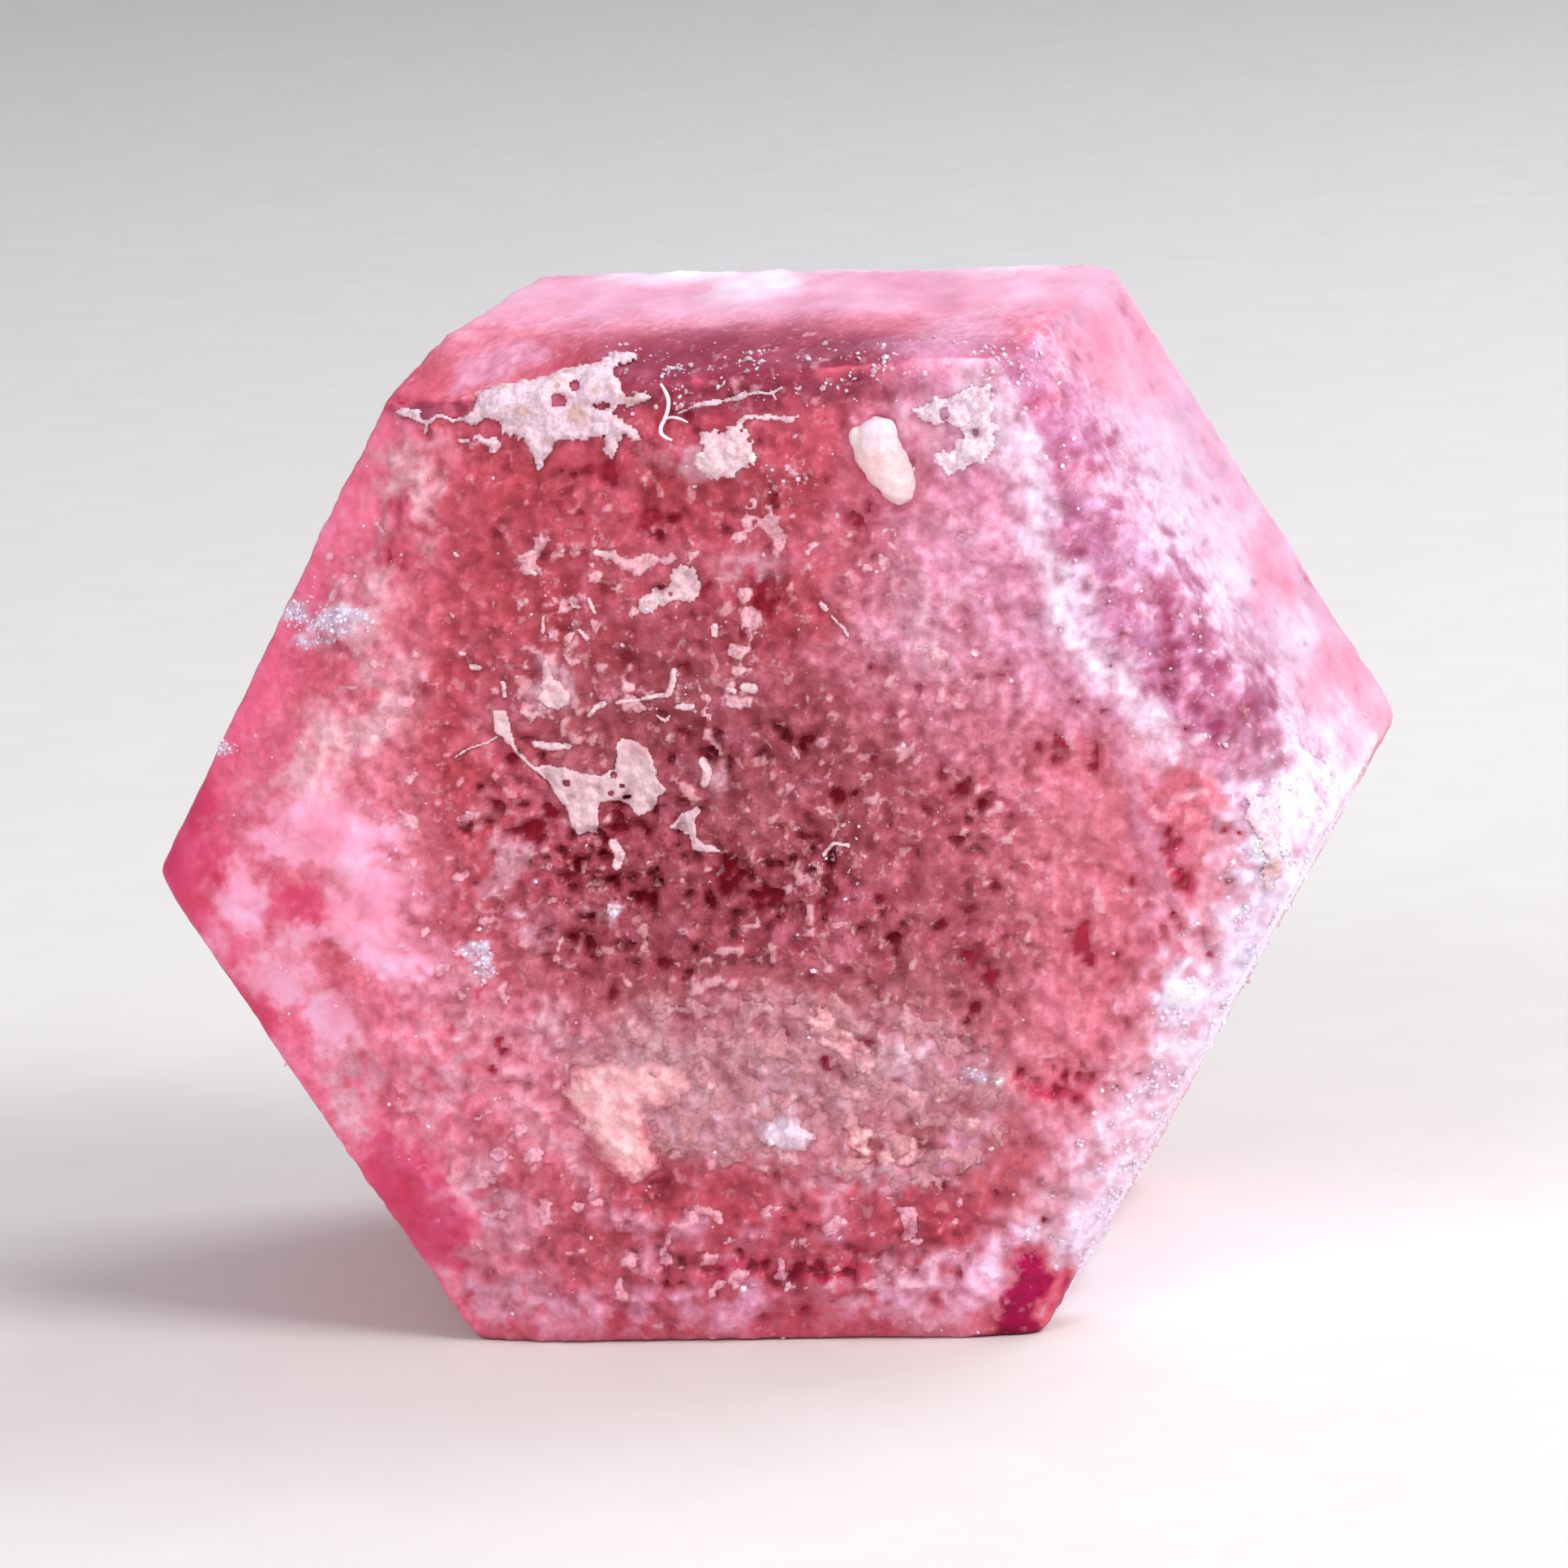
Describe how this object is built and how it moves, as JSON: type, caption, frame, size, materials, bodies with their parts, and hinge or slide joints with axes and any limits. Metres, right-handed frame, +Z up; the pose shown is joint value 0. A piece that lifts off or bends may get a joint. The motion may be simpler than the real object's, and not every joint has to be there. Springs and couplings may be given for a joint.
{
  "type": "red beryl crystal",
  "caption": "Stubby hexagonal prism of frosted red beryl with crumbs and films of host-rock crust and a lint fibre on its flat end, lying on a prism face.",
  "frame": {"origin": "on the floor, under the middle of the piece's bounding box as it lies on its lower prism face", "axes": "+Z up, +Y along the crystal's long (c) axis from the flat end face that shows towards the hidden end, +X to the right across the hexagon's corners when looking along +Y"},
  "size_m": [0.0085, 0.0054, 0.0074],
  "materials": {
    "red_beryl": "translucent red, frosted and dusty with glassy windows",
    "white_crust": "matt, crumbly",
    "cream_crust": "matt, granular",
    "pink_crust": "matt, granular",
    "lint": "soft thread"
  },
  "bodies": {
    "root": {"crystal": "red_beryl", "edge_crust": "white_crust", "ledge_crust": "white_crust", "middle_crust": "cream_crust", "cream_grain": "cream_crust", "corner_crust": "cream_crust", "side_crust": "white_crust", "upper_flake": "white_crust", "web_flake": "white_crust", "forked_flake": "white_crust", "left_pink_crust": "pink_crust", "right_pink_crust": "pink_crust", "lower_pink_crust": "pink_crust", "white_speck": "white_crust", "fibre": "lint"}
  },
  "joints": []
}
